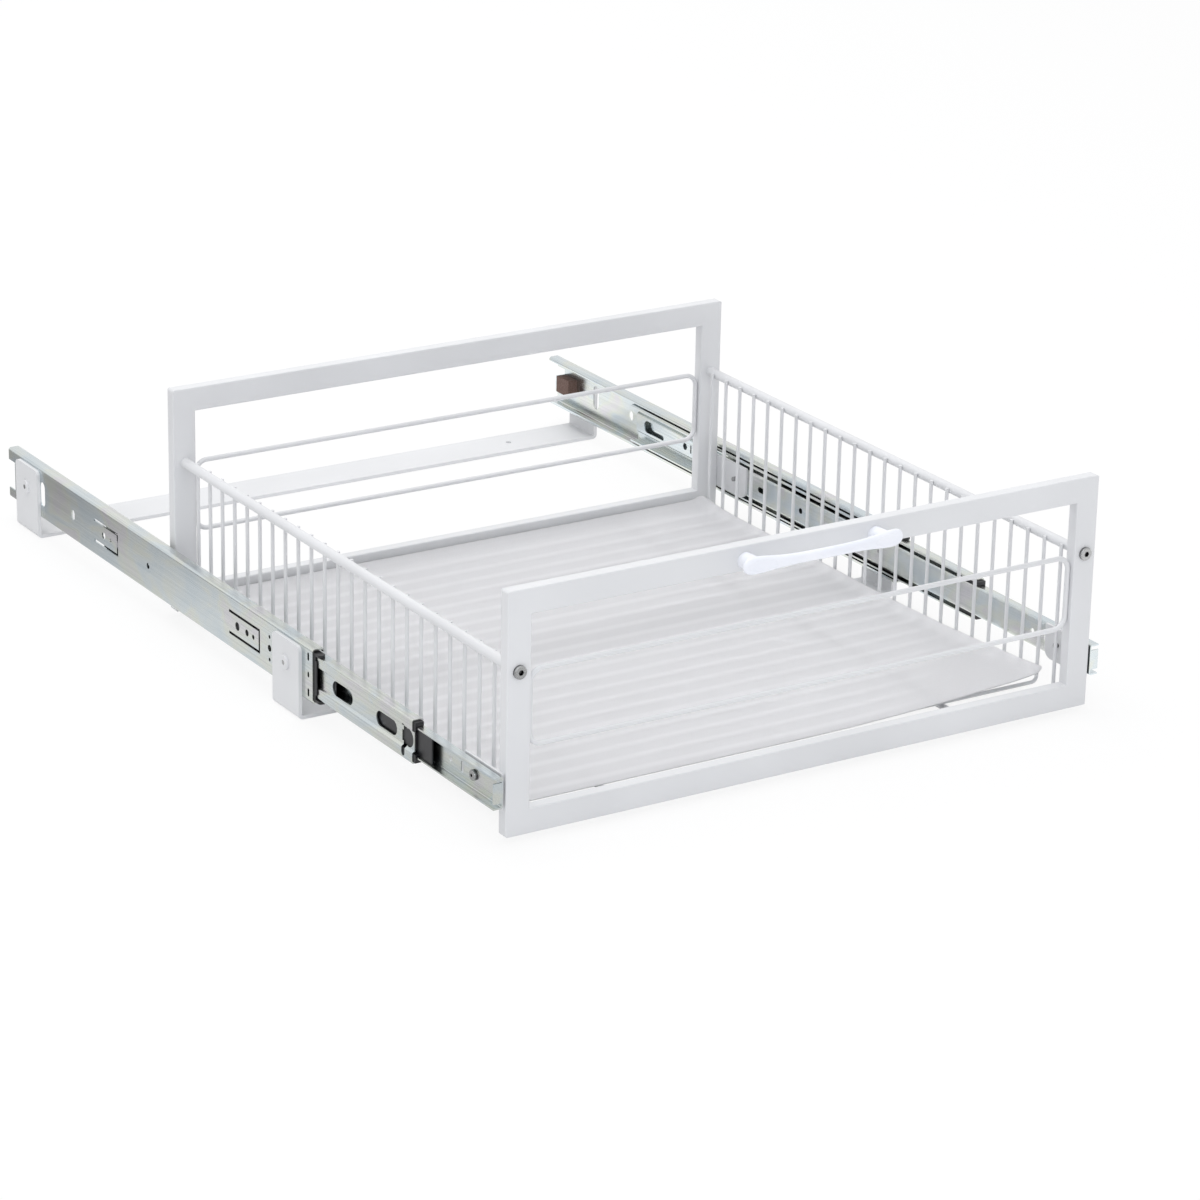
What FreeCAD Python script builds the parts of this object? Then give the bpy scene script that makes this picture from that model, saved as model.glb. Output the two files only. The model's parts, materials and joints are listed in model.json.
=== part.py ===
import FreeCAD, Part

import math
import os

from FreeCAD import Vector

# Pull-out wire basket on two full-extension ball slides and two cross straps.
# Millimetres: X to the right, Y to the back of the cabinet, Z up.
# The origin is the centre of the four floor screws, on the underside of the straps.
# The rest position is part way out.

# Basket frames
BASKET_WIDTH = 528.0
BASKET_SHORTER = 15.0
FRAME_HEIGHT = 190.0
FRAME_BAR = 20.0
FRAME_TUBE_DEPTH = 10.0
FRAME_WALL = 1.2
FRAME_EDGE_RADIUS = 1.0
FRAME_CORNER_RADIUS = 2.5
FRAME_RUNNING_GAP = 1.5

# Basket wires
RAIL_DIAMETER = 8.0
RAIL_HEIGHT = 127.7
WIRE_DIAMETER = 3.0
WIRE_COUNT = 24
WIRE_END_GAP = 12.0
WIRE_BEND = 5.0
WIRE_TIP_DROP = 2.3
FLOOR_BAR_DIAMETER = 5.0
FLOOR_BAR_INSET = 106.0
FLOOR_BAR_LIFT = 1.2
LOOP_DIAMETER = 4.0
LOOP_TOP = 125.4
LOOP_BOTTOM = 66.9
LOOP_BEND = 10.0

# Liner mat
MAT_THICKNESS = 1.5
MAT_FRONT_GAP = 28.0
MAT_REAR_GAP = 3.0
MAT_CLEARANCE = 0.2

# Handle
HANDLE_FEET_SPACING = 116.0
HANDLE_LENGTH = 142.0
HANDLE_OFFSET = -4.8
HANDLE_DROP = 11.7
HANDLE_RISE = 2.2
HANDLE_FOOT_DIAMETER = 13.0
HANDLE_FOOT_TIP_DIAMETER = 10.4
HANDLE_REACH = 17.0
HANDLE_BOW = 3.0
HANDLE_BAR_HEIGHT = 8.3
HANDLE_BAR_THICKNESS = 6.0
HANDLE_DISH_PLACE = 14.5
HANDLE_DISH_LENGTH = 25.0
HANDLE_DISH_HEIGHT = 10.0
HANDLE_DISH_DEPTH = 1.3

# Handle's end: distance from the bar's tip, height and thickness there
HANDLE_END = (
    (0.0, 3.0, 1.6),
    (1.2, 7.6, 3.4),
    (3.0, 10.8, 4.6),
    (5.6, 12.9, 5.4),
    (9.5, 13.6, 5.8),
    (15.0, 13.3, 6.0),
    (22.0, 11.9, 6.0),
    (30.0, 10.2, 6.0),
    (42.0, 8.8, 6.0),
)

# Ball slides
SLIDE_LENGTH = 550.0
SLIDE_THICKNESS = 12.7
SLIDE_CENTRE = 36.5
OUTER_HEIGHT = 45.0
OUTER_SHEET = 1.2
MIDDLE_SHEET = 1.0
INNER_SHEET = 1.2
CAGE_SHEET = 0.6
OUTER_BALL = 3.2
INNER_BALL = 3.4
SLIDE_GAP = 0.3
MEMBER_SHORTER = 32.0
MIDDLE_BAND = 8.3
MIDDLE_STEP = 2.1
MIDDLE_STEP_RISE = 1.5
CAGE_STEP_SHIFT = 1.2
OUTER_BEND = 1.8
MEMBER_BEND = 1.3
STEP_BEND = 0.8
OUTER_LIP_DEPTH = 2.0
OUTER_LIP = 3.4
MIDDLE_LIP_DEPTH = 0.8
MIDDLE_LIP = 2.0
OUTER_CAGE_PLAY = 11.0
INNER_CAGE_PLAY = 4.2
BALL_PITCH = 14.0

# Openings in the outer rail's web, placed from its front or rear end and from its centre line
REAR_NOTCH_DEPTH = 12.0
REAR_NOTCH_TOP = 12.0
REAR_NOTCH_BOTTOM = 13.5
WINDOW_PLACE = 67.0
WINDOW_WIDTH = 10.0
WINDOW_HEIGHT = 22.0
KEY_HOLE_PLACE = 127.3
KEY_HOLE_WIDTH = 6.4
KEY_HOLE_HEIGHT = 9.0
ROUND_HOLE_PLACE = 268.6
ROUND_HOLE = 5.0
TONGUE_SLOT = 2.2
TONGUE_HEIGHT = 20.4
REAR_TONGUE_PLACE = 213.0
REAR_TONGUE_LENGTH = 45.0
REAR_TONGUE_HOLES = ((27.0, 6.0), (14.0, 3.0))
FRONT_TONGUE_PLACE = 86.0
FRONT_TONGUE_LENGTH = 52.0
FRONT_TONGUE_HOLES = ((38.0, 7.0), (21.8, 5.5), (11.2, 4.0))
CROSS_HOLES_PLACE = 70.0
CROSS_HOLE = 5.5
CROSS_PIN_HOLE = 3.0
CROSS_PIN_SPACING = 19.0
END_SLOT_PLACE = 6.7
END_SLOT_WIDTH = 2.6
END_SLOT_HEIGHT = 6.6
END_SLOT_SPACING = 29.5
END_HOLE_HEIGHT = 4.6

# Openings in the middle rail's web, placed from its front or rear end
OVAL_PLACES = (42.0, 110.0)
OVAL_LENGTH = 31.5
OVAL_HEIGHT = 12.0
LATCH_HOLE_PLACE = 8.8
LATCH_HOLE = 14.4
LATCH_FLAT_PLACE = 18.3
LATCH_FLAT_TOP = 3.8
LATCH_FLAT_BOTTOM = 4.8
LATCH_SLOT_PLACE = 13.8
LATCH_SLOT_WIDTH = 4.8
LATCH_SLOT_TOP = 10.2
LATCH_SLOT_BOTTOM = 15.4
KEY_SLOT_PLACE = 21.0
KEY_SLOT_LENGTH = 17.0
KEY_SLOT_HEIGHT = 11.0
KEY_TAIL_LENGTH = 24.0
KEY_TAIL_HEIGHT = 4.6
HEX_HOLE_PLACE = 80.0
HEX_HOLE = 6.0
FINE_SLOT_PLACE = 89.5
FINE_SLOT_WIDTH = 1.8
FINE_SLOT_HEIGHT = 8.0

# Openings in the inner rail's web and its bent front tab
FIXING_SLOT_PLACE = 56.2
FIXING_SLOT_WIDTH = 4.0
FIXING_SLOT_HEIGHT = 10.0
FIXING_HOLE_PLACE = 73.4
FIXING_HOLE = 5.0
REAR_SLOT_PLACE = 60.0
REAR_SLOT_LENGTH = 10.0
REAR_SLOT_HEIGHT = 5.0
REAR_HOLE_PLACE = 120.0
FRONT_TAB_HEIGHT = 16.0

# Slide positions along Y, in and out of the cabinet
STRAP_SET_BACK = 38.5
STRAP_REAR_SET_BACK = 41.5
CLOSED_PROUD = 26.5
REST_PULL = 237.5
OPEN_OVERLAP = 25.0
MIDDLE_PROUD = 2.4
INNER_SET_BACK = 0.5

# Each middle rail's share of the basket's travel
MIDDLE_SHARES = {"left": 0.62, "right": 0.46}

# Guides, bumper and release lever
GUIDE_NOSE = 21.5
GUIDE_ARM = 3.0
GUIDE_BLOCK = 22.0
GUIDE_TONGUE = 62.0
GUIDE_TONGUE_SHEET = 1.2
OUTER_GUIDE_NOSE = 4.0
OUTER_GUIDE_ARM = 9.0
OUTER_GUIDE_ARM_WIDTH = 6.0
OUTER_GUIDE_SEAT = 5.0
OUTER_GUIDE_FACE = 28.0
OUTER_GUIDE_ARM_NOSE = 2.5
STOP_GAP = 0.5
BUMPER_HEIGHT = 15.0
BUMPER_EDGE = 1.2
LEVER_PLACE = 284.0
LEVER_FRONT = 26.0
LEVER_REAR = 20.0
LEVER_HEIGHT = 8.0
PIN_HEAD = 0.7
PIN_DIAMETER = 3.0
PIN_HEAD_DIAMETER = 6.0

# Side plates between the frames and the slides
PLATE_THICKNESS = 2.0
PLATE_LENGTH = 52.0
PLATE_BOTTOM = 22.0
PLATE_TOP = 50.0
PLATE_CORNER = 8.0
PLATE_INSET = 3.0

# Cross straps
STRAP_WIDTH = 43.0
STRAP_THICKNESS = 3.0
STRAP_LEG = 60.5
STRAP_BEND = 2.6
STRAP_CORNER = 5.0
FLOOR_SCREW_SPACING = 400.0
FLOOR_SCREW_HOLE = 5.0

# Screws and nuts
FIT = 0.05
EDGE_MATCH = 0.01
CUT_MARGIN = 1.0
SCREW_END_GAP = 1.0
FRAME_SCREW = 5.0
FRAME_SCREW_HEAD = 10.5
FRAME_SCREW_HEAD_HEIGHT = 2.6
FRAME_SCREW_GRIP = 16.0
FRAME_SCREW_CROWN = 0.9
FRAME_SCREW_SOCKET = 4.0
FRAME_SCREW_SOCKET_DEPTH = 1.9
HANDLE_SCREW = 4.0
HANDLE_SCREW_HEAD = 8.0
HANDLE_SCREW_HEAD_HEIGHT = 2.4
HANDLE_SCREW_GRIP = 8.0
SLIDE_SCREW = 4.0
SLIDE_SCREW_HEAD = 6.4
NUT_DIAMETER = 12.0
NUT_HEIGHT = 2.0
NUT_EDGE = 0.7
RAIL_SCREW = 4.0
RAIL_SCREW_HEAD = 8.4
RAIL_SCREW_PLACE = 36.2
RAIL_SCREW_TIP = 3.0
RAIL_SCREW_SOCKET = 2.5
RAIL_SCREW_SOCKET_DEPTH = 1.7
SCREW_HEAD_CLEARANCE = 1.0

# Places worked out from the sizes above
strap_spacing = SLIDE_LENGTH - STRAP_SET_BACK - STRAP_REAR_SET_BACK
basket_depth = SLIDE_LENGTH - BASKET_SHORTER
member_length = SLIDE_LENGTH - MEMBER_SHORTER
full_pull = SLIDE_LENGTH - OPEN_OVERLAP
outer_front = -strap_spacing / 2 - STRAP_SET_BACK
outer_rear = outer_front + SLIDE_LENGTH
basket_front = outer_front - CLOSED_PROUD - REST_PULL
basket_rear = basket_front + basket_depth
inner_front = basket_front + INNER_SET_BACK
inner_rear = inner_front + member_length
frame_bottom = STRAP_THICKNESS + FRAME_RUNNING_GAP
slide_height = frame_bottom + SLIDE_CENTRE
side_x = BASKET_WIDTH / 2
slide_x = side_x + PLATE_THICKNESS
strap_x = slide_x + SLIDE_THICKNESS
strap_places = {"front": -strap_spacing / 2, "rear": strap_spacing / 2}
post_x = side_x - FRAME_BAR / 2
frame_front_inside = basket_front + FRAME_TUBE_DEPTH
frame_rear_inside = basket_rear - FRAME_TUBE_DEPTH
rail_z = frame_bottom + RAIL_HEIGHT
wire_x = post_x - RAIL_DIAMETER / 2 - WIRE_DIAMETER / 2
floor_bar_z = frame_bottom + FLOOR_BAR_LIFT + FLOOR_BAR_DIAMETER / 2
wire_floor_z = floor_bar_z + FLOOR_BAR_DIAMETER / 2 + WIRE_DIAMETER / 2
handle_z = frame_bottom + FRAME_HEIGHT - HANDLE_DROP

# Slide section, measured outwards from the basket side and up from the slide's centre line
outer_web_inside = SLIDE_THICKNESS - OUTER_SHEET
outer_half = OUTER_HEIGHT / 2
outer_race = outer_half - OUTER_SHEET
middle_half = outer_race - OUTER_BALL - 2 * SLIDE_GAP
middle_race = middle_half - MIDDLE_SHEET
inner_half = middle_race - INNER_BALL - 2 * SLIDE_GAP
outer_cage_u = outer_web_inside - SLIDE_GAP - CAGE_SHEET / 2
middle_band_u = outer_cage_u - CAGE_SHEET / 2 - SLIDE_GAP - MIDDLE_SHEET / 2
middle_web_u = middle_band_u - MIDDLE_STEP
middle_band_inside = middle_band_u - MIDDLE_SHEET / 2
middle_web_inside = middle_web_u - MIDDLE_SHEET / 2
inner_cage_u = middle_band_inside - SLIDE_GAP - CAGE_SHEET / 2
inner_cage_web_u = inner_cage_u - MIDDLE_STEP
inner_tip_u = inner_cage_u - CAGE_SHEET / 2 - SLIDE_GAP
step_outer_v = middle_half - MIDDLE_BAND
step_inner_v = step_outer_v - MIDDLE_STEP_RISE
outer_ball_v = (outer_race + middle_half) / 2
inner_ball_v = (middle_race + inner_half) / 2
outer_ball_u = (OUTER_LIP_DEPTH + OUTER_SHEET + outer_web_inside) / 2 - SLIDE_GAP
inner_ball_u = (MIDDLE_LIP_DEPTH + MIDDLE_SHEET + inner_tip_u) / 2
tongue_top = inner_cage_web_u - CAGE_SHEET / 2 - SLIDE_GAP
tongue_bottom = tongue_top - GUIDE_TONGUE_SHEET
lever_bottom = INNER_SHEET + SLIDE_GAP
lever_top = tongue_bottom - SLIDE_GAP - PIN_HEAD - 2 * FIT

# Middle rails and ball cages, placed with the basket pushed fully in
middle_front = outer_front - MIDDLE_PROUD
middle_rear = middle_front + member_length
guide_end = middle_front + GUIDE_BLOCK
inner_rear_in = inner_rear + REST_PULL
outer_cage_centre = (outer_front + middle_rear) / 2
inner_cage_centre = (guide_end + inner_rear_in) / 2
outer_cage_room = middle_rear - outer_front - max(MIDDLE_SHARES.values()) * full_pull
inner_cage_room = inner_rear_in - guide_end - (1 - min(MIDDLE_SHARES.values())) * full_pull
outer_cage_length = outer_cage_room - 2 * OUTER_CAGE_PLAY
inner_cage_length = inner_cage_room - 2 * INNER_CAGE_PLAY


# Shapes


def block(x0, x1, y0, y1, z0, z1):
    return Part.makeBox(x1 - x0, y1 - y0, z1 - z0, Vector(x0, y0, z0))


def rod(start, direction, length, diameter):
    return Part.makeCylinder(diameter / 2, length, start, direction)


def hole_x(y, z, diameter, x0, x1):
    return rod(Vector(x0, y, z), Vector(1, 0, 0), x1 - x0, diameter)


def rounded_bar(y, z, along_y, along_z, x0, x1):
    """Solid with a round-ended outline in the YZ plane, running along X."""
    radius = min(along_y, along_z) / 2
    reach_y = along_y / 2 - radius
    reach_z = along_z / 2 - radius
    core = block(x0, x1, y - along_y / 2, y + along_y / 2, z - along_z / 2, z + along_z / 2)
    if reach_y > 0:
        core = block(x0, x1, y - reach_y, y + reach_y, z - radius, z + radius)
    elif reach_z > 0:
        core = block(x0, x1, y - radius, y + radius, z - reach_z, z + reach_z)
    ends = [hole_x(y - reach_y, z - reach_z, 2 * radius, x0, x1)]
    ends.append(hole_x(y + reach_y, z + reach_z, 2 * radius, x0, x1))
    return core.fuse(ends).removeSplitter()


def fold_chain(points, bend, shift):
    """Edges of a folded line moved sideways by shift, with an arc at each fold."""
    edges = []
    start = None
    for place, corner in enumerate(points):
        before = points[place - 1] if place > 0 else None
        after = points[place + 1] if place + 1 < len(points) else None
        if before is None or after is None:
            run = (after - corner) if before is None else (corner - before)
            run.normalize()
            here = corner + Vector(-run.z, 0, run.x) * shift
            if start is not None:
                edges.append(Part.LineSegment(start, here).toShape())
            start = here
            continue
        run_in = (corner - before).normalize()
        run_out = (after - corner).normalize()
        side_in = Vector(-run_in.z, 0, run_in.x)
        side_out = Vector(-run_out.z, 0, run_out.x)
        turn = run_in.getAngle(run_out)
        side = 1.0 if side_in.dot(run_out) > 0 else -1.0
        tangent = bend * math.tan(turn / 2)
        centre = corner - run_in * tangent + side_in * (side * bend)
        arc_start = corner - run_in * tangent + side_in * shift
        arc_end = corner + run_out * tangent + side_out * shift
        middle = ((arc_start - centre) + (arc_end - centre)).normalize()
        arc_middle = centre + middle * (bend - side * shift)
        edges.append(Part.LineSegment(start, arc_start).toShape())
        edges.append(Part.Arc(arc_start, arc_middle, arc_end).toShape())
        start = arc_end
    return edges


def folded_sheet(outline, sheet, bend, y, length):
    """Sheet folded along a line in the XZ plane, running along Y."""
    points = [Vector(a, y, b) for a, b in outline]
    near = fold_chain(points, bend, sheet / 2)
    far = fold_chain(points, bend, -sheet / 2)
    caps = []
    for near_edge, far_edge, end in ((near[0], far[0], 0), (near[-1], far[-1], -1)):
        caps.append(Part.LineSegment(near_edge.Vertexes[end].Point, far_edge.Vertexes[end].Point).toShape())
    wire = Part.Wire(Part.__sortEdges__(near + far + caps))
    return Part.Face(wire).extrude(Vector(0, length, 0))


def mirrored_section(half):
    """Closed-end fold line from its lower half, which is listed from the lip to the web."""
    return half + [(u, -v) for u, v in reversed(half)]


def on_slide(shape):
    """Moves a shape from the slide's section coordinates to the right-hand slide."""
    placed = shape.copy()
    placed.translate(Vector(slide_x, 0, slide_height))
    return placed


def other_side(shape):
    return shape.mirror(Vector(0, 0, 0), Vector(1, 0, 0))


def pulled(shape, share):
    """Moves a shape from its place fully in to its place at rest, by its share of the basket's travel."""
    placed = shape.copy()
    placed.translate(Vector(0, -share * REST_PULL, 0))
    return placed


def edges_along(shape, axis, length, near=None, reach=EDGE_MATCH):
    """Straight edges of one length along an axis, kept by a test on their middle point."""
    chosen = []
    for edge in shape.Edges:
        if not isinstance(edge.Curve, Part.Line) or abs(edge.Length - length) > reach:
            continue
        run = edge.Vertexes[1].Point - edge.Vertexes[0].Point
        if abs(abs(run.normalize().dot(axis)) - 1) > reach:
            continue
        if near is None or near(edge.CenterOfMass):
            chosen.append(edge)
    return chosen


def hexagon(start, direction, across_flats, depth):
    """Prism for a hex socket, starting at a point and running along Y or X."""
    radius = across_flats / 2 / math.cos(math.radians(30))
    corners = []
    for corner in range(7):
        angle = math.radians(60 * corner)
        if abs(direction.y) > 0:
            spoke = Vector(math.cos(angle), 0, math.sin(angle))
        else:
            spoke = Vector(0, math.cos(angle), math.sin(angle))
        corners.append(start + spoke * radius)
    return Part.Face(Part.makePolygon(corners)).extrude(direction * depth)


def loop_wire(x0, x1, z0, z1, y, bend, diameter):
    """Round wire bent into a closed rectangle in an XZ plane."""
    lines = []
    arcs = []
    for dx, dz, x_end, z_end in ((1, 1, x1, z1), (-1, 1, x0, z1), (-1, -1, x0, z0), (1, -1, x1, z0)):
        centre = Vector(x_end - dx * bend, y, z_end - dz * bend)
        diagonal = Vector(dx, 0, dz).normalize()
        side = centre + Vector(dx * bend, 0, 0)
        cap = centre + Vector(0, 0, dz * bend)
        arcs.append((side, centre + diagonal * bend, cap))
    for (side, _, cap), (next_side, _, next_cap) in ((arcs[0], arcs[1]), (arcs[2], arcs[3])):
        lines.append(Part.LineSegment(cap, next_cap).toShape())
    for first, second in ((arcs[1], arcs[2]), (arcs[3], arcs[0])):
        lines.append(Part.LineSegment(first[0], second[0]).toShape())
    bends = [Part.Arc(*arc).toShape() for arc in arcs]
    path = Part.Wire(Part.__sortEdges__(lines + bends))
    start = path.Edges[0].Vertexes[0].Point
    direction = path.Edges[0].tangentAt(path.Edges[0].FirstParameter)
    profile = Part.Wire(Part.makeCircle(diameter / 2, start, direction))
    return path.makePipeShell([profile], True, True)


# Basket


def frame(y0):
    """Welded rectangle of four mitred tubes, between y0 and y0 plus the tube's depth."""
    y1 = y0 + FRAME_TUBE_DEPTH
    z0 = frame_bottom
    z1 = frame_bottom + FRAME_HEIGHT
    blank = block(-side_x, side_x, y0, y1, z0, z1)
    blank = blank.makeFillet(FRAME_CORNER_RADIUS, edges_along(blank, Vector(0, 1, 0), FRAME_TUBE_DEPTH))
    spans = {
        "bottom": (-side_x, side_x, z0, z0 + FRAME_BAR),
        "top": (-side_x, side_x, z1 - FRAME_BAR, z1),
        "left": (-side_x, -side_x + FRAME_BAR, z0, z1),
        "right": (side_x - FRAME_BAR, side_x, z0, z1),
    }
    corners = {
        "bottom": ((-side_x, z0), (side_x, z0), (side_x - FRAME_BAR, z0 + FRAME_BAR),
                   (-side_x + FRAME_BAR, z0 + FRAME_BAR)),
        "top": ((-side_x, z1), (side_x, z1), (side_x - FRAME_BAR, z1 - FRAME_BAR),
                (-side_x + FRAME_BAR, z1 - FRAME_BAR)),
        "left": ((-side_x, z0), (-side_x, z1), (-side_x + FRAME_BAR, z1 - FRAME_BAR),
                 (-side_x + FRAME_BAR, z0 + FRAME_BAR)),
        "right": ((side_x, z0), (side_x, z1), (side_x - FRAME_BAR, z1 - FRAME_BAR),
                  (side_x - FRAME_BAR, z0 + FRAME_BAR)),
    }
    tubes = []
    for name, (x0, x1, low, high) in spans.items():
        outside = block(x0, x1, y0, y1, low, high)
        axis = Vector(1, 0, 0) if name in ("bottom", "top") else Vector(0, 0, 1)
        span = (x1 - x0) if axis.x else (high - low)
        outside = outside.makeFillet(FRAME_EDGE_RADIUS, edges_along(outside, axis, span))
        grow_x = FRAME_BAR if axis.x else -FRAME_WALL
        grow_z = -FRAME_WALL if axis.x else FRAME_BAR
        inside = block(x0 - grow_x, x1 + grow_x, y0 + FRAME_WALL, y1 - FRAME_WALL,
                       low - grow_z, high + grow_z)
        outline = [Vector(x, y0, z) for x, z in corners[name]]
        mitre = Part.Face(Part.makePolygon(outline + outline[:1])).extrude(Vector(0, FRAME_TUBE_DEPTH, 0))
        tubes.append(outside.cut(inside).common(mitre).common(blank).Solids[0])
    return tubes


def drilled(tubes, drills):
    return Part.makeCompound([tube.cut(drills) for tube in tubes])


def frame_screw_drills(y0):
    drills = []
    for x in (-post_x, post_x):
        start = Vector(x, y0 - FRAME_TUBE_DEPTH, rail_z)
        drills.append(rod(start, Vector(0, 1, 0), 3 * FRAME_TUBE_DEPTH, FRAME_SCREW + 2 * FIT))
    return drills


def handle_screw_drills(y0):
    drills = []
    for x in handle_feet():
        start = Vector(x, y0 - FRAME_TUBE_DEPTH, handle_z)
        drills.append(rod(start, Vector(0, 1, 0), 3 * FRAME_TUBE_DEPTH, HANDLE_SCREW + 2 * FIT))
    return drills


def handle_feet():
    return (HANDLE_OFFSET - HANDLE_FEET_SPACING / 2, HANDLE_OFFSET + HANDLE_FEET_SPACING / 2)


def top_rail(x):
    length = frame_rear_inside - frame_front_inside
    rail = rod(Vector(x, frame_front_inside, rail_z), Vector(0, 1, 0), length, RAIL_DIAMETER)
    for y in (frame_front_inside, frame_rear_inside - FRAME_SCREW_GRIP):
        bore = rod(Vector(x, y, rail_z), Vector(0, 1, 0), FRAME_SCREW_GRIP, FRAME_SCREW + 2 * FIT)
        rail = rail.cut(bore)
    return rail


def wire_places():
    first = frame_front_inside + WIRE_END_GAP
    last = frame_rear_inside - WIRE_END_GAP
    step = (last - first) / (WIRE_COUNT - 1)
    return [first + step * number for number in range(WIRE_COUNT)]


def u_wire(y):
    """One wire: up the left side, under the floor and up the right side."""
    tip = rail_z + RAIL_DIAMETER / 2 - WIRE_TIP_DROP
    bend = WIRE_BEND
    diagonal = bend * (1 - math.sqrt(0.5))
    corner_out = wire_x - diagonal
    corner_up = wire_floor_z + diagonal
    inside = wire_x - bend
    foot = wire_floor_z + bend
    path = Part.Wire([
        Part.LineSegment(Vector(-wire_x, y, tip), Vector(-wire_x, y, foot)).toShape(),
        Part.Arc(Vector(-wire_x, y, foot), Vector(-corner_out, y, corner_up),
                 Vector(-inside, y, wire_floor_z)).toShape(),
        Part.LineSegment(Vector(-inside, y, wire_floor_z), Vector(inside, y, wire_floor_z)).toShape(),
        Part.Arc(Vector(inside, y, wire_floor_z), Vector(corner_out, y, corner_up),
                 Vector(wire_x, y, foot)).toShape(),
        Part.LineSegment(Vector(wire_x, y, foot), Vector(wire_x, y, tip)).toShape(),
    ])
    profile = Part.Wire(Part.makeCircle(WIRE_DIAMETER / 2, Vector(-wire_x, y, tip), Vector(0, 0, -1)))
    return path.makePipeShell([profile], True, True)


def frame_loop(y0):
    """Guard wire that fills the middle of a frame's window."""
    radius = LOOP_DIAMETER / 2
    side = side_x - FRAME_BAR - radius
    y = y0 + FRAME_TUBE_DEPTH / 2
    low = frame_bottom + LOOP_BOTTOM
    high = frame_bottom + LOOP_TOP
    return loop_wire(-side, side, low, high, y, LOOP_BEND, LOOP_DIAMETER)


def floor_bar(x):
    length = frame_rear_inside - frame_front_inside
    return rod(Vector(x, frame_front_inside, floor_bar_z), Vector(0, 1, 0), length, FLOOR_BAR_DIAMETER)


def liner_mat():
    half = wire_x - WIRE_BEND
    bottom = wire_floor_z + WIRE_DIAMETER / 2 + MAT_CLEARANCE
    front = frame_front_inside + MAT_FRONT_GAP
    rear = frame_rear_inside - MAT_REAR_GAP
    return block(-half, half, front, rear, bottom, bottom + MAT_THICKNESS)


def side_plate(front):
    """Plate on the outside of the frame posts, which carries the slide's inner member."""
    y0 = basket_front + PLATE_INSET if front else basket_rear - PLATE_INSET - PLATE_LENGTH
    z0 = frame_bottom + PLATE_BOTTOM
    z1 = frame_bottom + PLATE_TOP
    plate = block(side_x, slide_x, y0, y0 + PLATE_LENGTH, z0, z1)
    free_end = y0 + PLATE_LENGTH if front else y0
    at_free_end = edges_along(plate, Vector(1, 0, 0), PLATE_THICKNESS,
                              lambda point: abs(point.y - free_end) < FIT and point.z < z0 + FIT)
    plate = plate.makeFillet(PLATE_CORNER, at_free_end)
    screw_y = rail_screw_places()[0 if front else 1]
    return plate.cut(hole_x(screw_y, slide_height, RAIL_SCREW + 2 * FIT,
                            side_x - CUT_MARGIN, slide_x + CUT_MARGIN))


def rail_screw_places():
    front = basket_front + PLATE_INSET + RAIL_SCREW_PLACE
    rear = basket_rear - PLATE_INSET - RAIL_SCREW_PLACE
    return (front, rear)


def handle_section(x, height, thickness):
    """Oval outline across the handle's bar, which bows away from the frame in its middle."""
    share = 2 * (x - HANDLE_OFFSET) / HANDLE_LENGTH
    centre = Vector(x, basket_front - HANDLE_REACH - HANDLE_BOW * (1 - share ** 2), handle_z + HANDLE_RISE)
    oval = Part.Ellipse(centre, height / 2, thickness / 2).toShape()
    return Part.Wire(oval.rotated(centre, Vector(0, 1, 0), 90))


def handle_dish(side):
    """Shallow oval dish in the front of one end of the handle's bar."""
    matrix = FreeCAD.Matrix()
    matrix.scale(HANDLE_DISH_LENGTH / 2, HANDLE_DISH_DEPTH, HANDLE_DISH_HEIGHT / 2)
    dish = Part.makeSphere(1.0).transformGeometry(matrix)
    share = 1 - 2 * HANDLE_DISH_PLACE / HANDLE_LENGTH
    turn = math.degrees(math.atan(4 * HANDLE_BOW * share / HANDLE_LENGTH))
    dish.rotate(Vector(0, 0, 0), Vector(0, 0, 1), side * turn)
    crest = basket_front - HANDLE_REACH - HANDLE_BOW * (1 - share ** 2) - HANDLE_BAR_THICKNESS / 2
    dish.translate(Vector(HANDLE_OFFSET + side * share * HANDLE_LENGTH / 2, crest, handle_z + HANDLE_RISE))
    return dish


def handle():
    """Bow handle: a slim bar with spoon-shaped ends, on two round feet."""
    outlines = []
    for side, ends in ((-1, HANDLE_END), (1, HANDLE_END[::-1])):
        for distance, height, thickness in ends:
            x = HANDLE_OFFSET + side * (HANDLE_LENGTH / 2 - distance)
            outlines.append(handle_section(x, height, thickness))
        if side < 0:
            outlines.append(handle_section(HANDLE_OFFSET, HANDLE_BAR_HEIGHT, HANDLE_BAR_THICKNESS))
    grip = Part.makeLoft(outlines, True, False)
    grip = grip.cut([handle_dish(-1), handle_dish(1)])
    forwards = Vector(0, -1, 0)
    for x in handle_feet():
        root = Vector(x, basket_front, handle_z)
        tip = root + Vector(0, -HANDLE_REACH, HANDLE_RISE)
        rings = [Part.makeCircle(HANDLE_FOOT_DIAMETER / 2, root, forwards)]
        rings.append(Part.makeCircle(HANDLE_FOOT_TIP_DIAMETER / 2, tip, forwards))
        grip = grip.fuse(Part.makeLoft([Part.Wire(ring) for ring in rings], True, True))
    for x in handle_feet():
        bore = rod(Vector(x, basket_front, handle_z), forwards, HANDLE_SCREW_GRIP, HANDLE_SCREW + 2 * FIT)
        grip = grip.cut(bore)
    return grip


# Slides, built on the right-hand side


def outer_outline():
    lip_u = OUTER_LIP_DEPTH + OUTER_SHEET / 2
    flange_v = outer_half - OUTER_SHEET / 2
    web_u = SLIDE_THICKNESS - OUTER_SHEET / 2
    return mirrored_section([(lip_u, OUTER_LIP - outer_half), (lip_u, -flange_v), (web_u, -flange_v)])


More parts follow.
